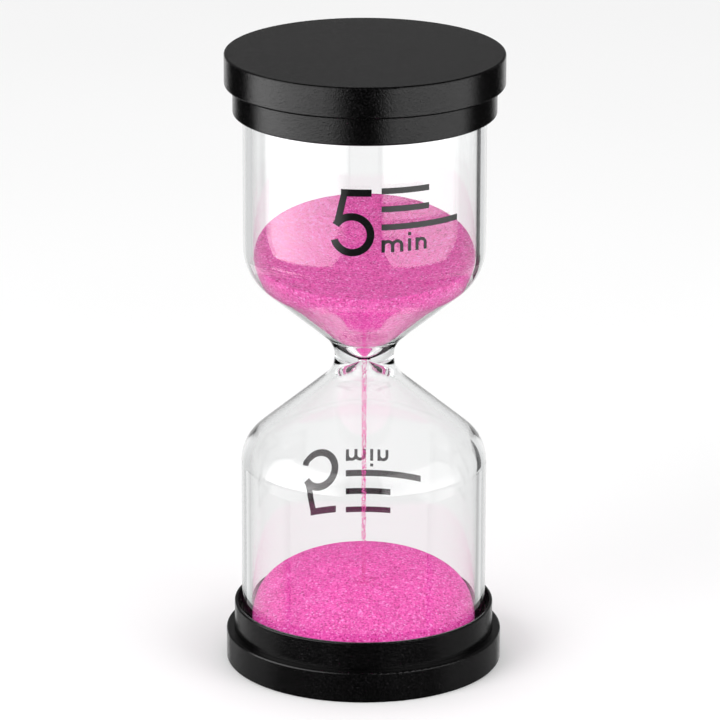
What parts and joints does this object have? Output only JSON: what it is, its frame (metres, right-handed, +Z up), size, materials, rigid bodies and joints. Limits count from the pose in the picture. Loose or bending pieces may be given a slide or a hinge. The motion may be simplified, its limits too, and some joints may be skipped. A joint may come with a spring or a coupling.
{
  "type": "sand timer",
  "caption": "Five-minute sand timer: a clear glass vessel with a narrow neck and pink sand, held between two stepped black plastic end caps.",
  "frame": {"origin": "centre of the flat underside of the bottom end cap, on the surface that the timer stands on", "axes": "+Z up along the timer's axis, the long way; -Y faces the viewer, on the side with the upper printed numeral; +X to the viewer's right"},
  "size_m": [0.042, 0.042, 0.0954],
  "materials": {
    "cap_plastic": "fine-grained matte black",
    "clear_glass": "clear, polished",
    "pink_sand": "fine dyed quartz grains",
    "black_ink": "screen-printed gloss ink",
    "cushion_foam": "closed-cell foam",
    "stopper_rubber": "soft translucent rubber",
    "clear_glue": "set hot-melt adhesive"
  },
  "bodies": {
    "root": {"bottom_end_cap": "cap_plastic", "bottom_collar_cup": "cap_plastic", "top_end_cap": "cap_plastic", "top_collar_cup": "cap_plastic", "bottom_foam_pad": "cushion_foam", "top_foam_pad": "cushion_foam", "bottom_glue_bead": "clear_glue", "top_glue_bead": "clear_glue", "plug_sealant": "clear_glue", "glass_vessel": "clear_glass", "fill_plug": "stopper_rubber", "upper_sand": "pink_sand", "falling_sand": "pink_sand", "lower_sand": "pink_sand", "upper_numeral": "black_ink", "upper_minute_mark": "black_ink", "lower_numeral": "black_ink", "lower_minute_mark": "black_ink"}
  },
  "joints": []
}
